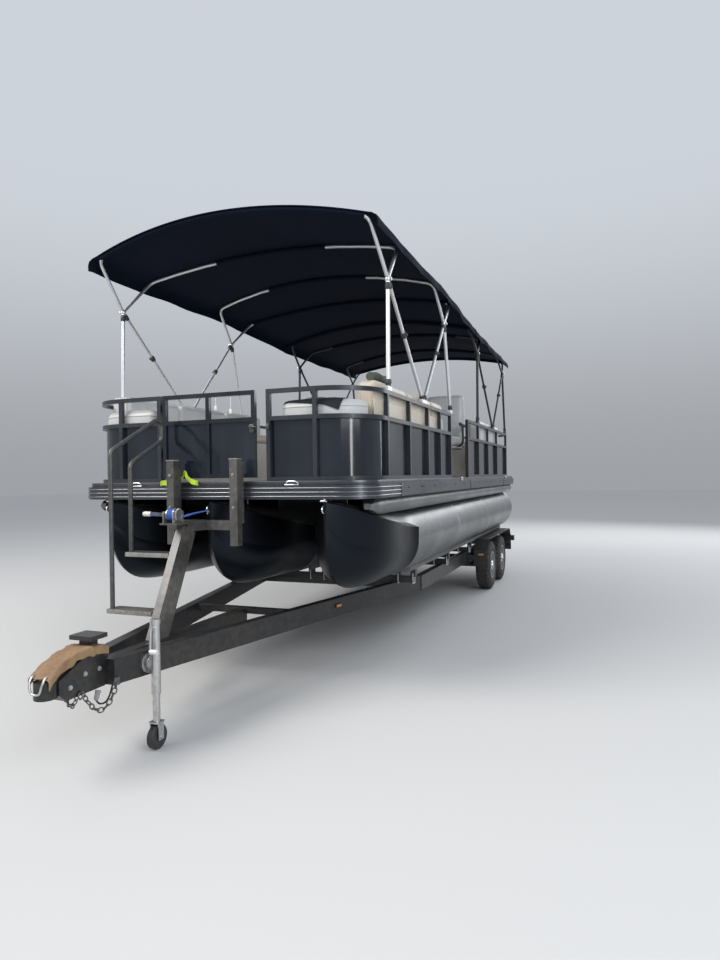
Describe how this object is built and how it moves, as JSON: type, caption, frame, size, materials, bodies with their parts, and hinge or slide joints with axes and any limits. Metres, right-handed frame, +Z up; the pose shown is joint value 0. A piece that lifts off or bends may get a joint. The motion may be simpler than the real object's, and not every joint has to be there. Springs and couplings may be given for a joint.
{
  "type": "pontoon boat on a trailer",
  "caption": "Triple-tube pontoon boat with fenced deck, lounges, helm, two cloth soft tops and an outboard, resting on a tandem-axle trailer with a jack and winch stand",
  "frame": {"origin": "centre of the bounding box, on the ground", "axes": "+X toward the bow and the coupler, +Y port, +Z up"},
  "size_m": [9.6979, 2.652, 3.6948],
  "materials": {
    "tube": "brushed",
    "member": "mill",
    "deck": "textured vinyl",
    "rub_rail": "satin",
    "fence": "satin",
    "panel": "gloss",
    "seat_shell": "satin",
    "seat_vinyl": "soft vinyl",
    "console": "gloss",
    "wheel_grip": "satin",
    "silver_pole": "satin",
    "black_pole": "satin",
    "canopy": "woven acrylic",
    "trailer": "satin",
    "step": "worn",
    "carpet": "marine carpet",
    "tyre": "worn",
    "rim": "silver",
    "zinc": "zinc plated",
    "motor": "gloss",
    "prop": "satin"
  },
  "bodies": {
    "boat_and_trailer": {"pontoon_port": "tube", "pontoon_centre": "tube", "pontoon_starboard": "tube", "crossmembers": "member", "deck": "deck", "rub_rail": "rub_rail", "fence_port_bow": "fence", "fence_port_aft": "fence", "fence_starboard_bow": "fence", "fence_starboard_aft": "fence", "panel_port_bow": "panel", "panel_port_aft": "panel", "panel_starboard_bow": "panel", "panel_starboard_aft": "panel", "helm_console": "console", "chair_pedestal": "silver_pole", "top_front_legs_port": "silver_pole", "top_front_legs_starboard": "silver_pole", "top_front_bows": "silver_pole", "top_rear_legs_port": "black_pole", "top_rear_legs_starboard": "black_pole", "top_rear_bows": "black_pole", "canopy_front": "canopy", "canopy_rear": "canopy", "trailer_frame": "trailer", "bunks": "carpet", "axles": "trailer", "fender_port": "trailer", "fender_starboard": "trailer", "coupler": "trailer", "jack_bracket": "zinc", "winch_stand": "trailer", "winch": "zinc", "boarding_steps": "step", "outboard_clamp": "motor", "lounge_port_base": "seat_shell", "lounge_port_pads": "seat_vinyl", "lounge_starboard_base": "seat_shell", "lounge_starboard_pads": "seat_vinyl", "lounge_aft_base": "seat_shell", "lounge_aft_pads": "seat_vinyl"},
    "wheel_front_port": {"tyre_front_port": "tyre", "rim_front_port": "rim"},
    "wheel_front_starboard": {"tyre_front_starboard": "tyre", "rim_front_starboard": "rim"},
    "wheel_rear_port": {"tyre_rear_port": "tyre", "rim_rear_port": "rim"},
    "wheel_rear_starboard": {"tyre_rear_starboard": "tyre", "rim_rear_starboard": "rim"},
    "bow_gate": {"bow_gate": "panel"},
    "stern_gate": {"stern_gate": "panel"},
    "steering_wheel": {"steering_wheel": "wheel_grip"},
    "helm_chair": {"helm_chair": "seat_vinyl"},
    "port_chair": {"port_chair": "seat_vinyl"},
    "jack_tube": {"jack_tube": "zinc"},
    "jack_leg": {"jack_leg": "zinc"},
    "jack_wheel": {"jack_wheel": "wheel_grip"},
    "outboard_swivel": {"outboard_swivel": "motor"},
    "outboard_motor": {"outboard_motor": "motor"},
    "outboard_propeller": {"outboard_propeller": "prop"}
  },
  "joints": [
    {"name": "wheel_front_port_spin", "type": "hinge", "parent": "boat_and_trailer", "child": "wheel_front_port", "pos_m": [-2.03, 1.1375, 0.343], "axis": [0, 1, 0], "continuous": true},
    {"name": "wheel_front_starboard_spin", "type": "hinge", "parent": "boat_and_trailer", "child": "wheel_front_starboard", "pos_m": [-2.03, -1.1375, 0.343], "axis": [0, 1, 0], "continuous": true},
    {"name": "wheel_rear_port_spin", "type": "hinge", "parent": "boat_and_trailer", "child": "wheel_rear_port", "pos_m": [-2.93, 1.1375, 0.343], "axis": [0, 1, 0], "continuous": true},
    {"name": "wheel_rear_starboard_spin", "type": "hinge", "parent": "boat_and_trailer", "child": "wheel_rear_starboard", "pos_m": [-2.93, -1.1375, 0.343], "axis": [0, 1, 0], "continuous": true},
    {"name": "bow_gate_hinge", "type": "hinge", "parent": "boat_and_trailer", "child": "bow_gate", "pos_m": [3.142, -0.461, 2], "axis": [0, 0, 1], "range_deg": [0, 90]},
    {"name": "stern_gate_hinge", "type": "hinge", "parent": "boat_and_trailer", "child": "stern_gate", "pos_m": [-3.582, 0.354, 2], "axis": [0, 0, 1], "range_deg": [-90, 0]},
    {"name": "steering_wheel_spin", "type": "hinge", "parent": "boat_and_trailer", "child": "steering_wheel", "pos_m": [-0.98, -0.86, 2.40875], "axis": [-0.8716, 0, 0.4903], "continuous": true},
    {"name": "helm_chair_swivel", "type": "hinge", "parent": "boat_and_trailer", "child": "helm_chair", "pos_m": [-1.55, -0.79, 1.97], "axis": [0, 0, 1], "continuous": true},
    {"name": "port_chair_swivel", "type": "hinge", "parent": "boat_and_trailer", "child": "port_chair", "pos_m": [-0.7, 0.83, 1.97], "axis": [0, 0, 1], "continuous": true},
    {"name": "jack_swing", "type": "hinge", "parent": "boat_and_trailer", "child": "jack_tube", "pos_m": [4.17867, 0.20992, 0.515], "axis": [0.2304, 0.9731, 0], "range_deg": [0, 90]},
    {"name": "jack_lift", "type": "slide", "parent": "jack_tube", "child": "jack_leg", "axis": [0, 0, 1], "range_m": [-0.1, 0.15]},
    {"name": "jack_wheel_spin", "type": "hinge", "parent": "jack_leg", "child": "jack_wheel", "pos_m": [4.1865, 0.243, 0.074], "axis": [0, 1, 0], "continuous": true},
    {"name": "outboard_tilt", "type": "hinge", "parent": "boat_and_trailer", "child": "outboard_swivel", "pos_m": [-4.23, 0, 1.47], "axis": [0, 1, 0], "range_deg": [0, 60]},
    {"name": "outboard_steer", "type": "hinge", "parent": "outboard_swivel", "child": "outboard_motor", "pos_m": [-4.35, 0, 1.3], "axis": [0, 0, 1], "range_deg": [-30, 30]},
    {"name": "propeller_spin", "type": "hinge", "parent": "outboard_motor", "child": "outboard_propeller", "pos_m": [-4.788, 0, 0.6], "axis": [1, 0, 0], "continuous": true}
  ]
}
